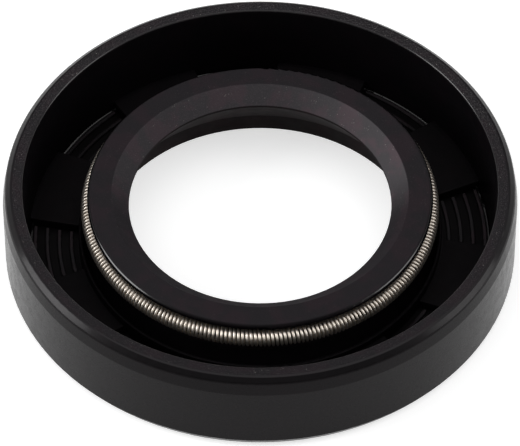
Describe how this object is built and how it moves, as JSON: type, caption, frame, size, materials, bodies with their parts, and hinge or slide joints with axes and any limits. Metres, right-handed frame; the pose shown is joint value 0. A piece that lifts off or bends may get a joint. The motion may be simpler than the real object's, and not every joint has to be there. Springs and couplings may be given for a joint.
{
  "type": "radial shaft seal",
  "caption": "Rubber-covered radial shaft seal with a single spring-loaded lip, an open cup with a ribbed floor and a hidden steel stiffening ring.",
  "frame": {"origin": "middle of the back face, on the seal's axis", "axes": "+Z along the axis, from the air side up to the open spring side"},
  "size_m": [0.052, 0.052, 0.01],
  "materials": {
    "rubber": "smooth moulded rubber, glossy on the sealing side",
    "insert_steel": "plain pressed steel under the rubber",
    "spring_steel": "drawn spring wire, bright"
  },
  "bodies": {
    "root": {"rubber_body": "rubber", "steel_insert": "insert_steel", "garter_spring": "spring_steel"}
  },
  "joints": []
}
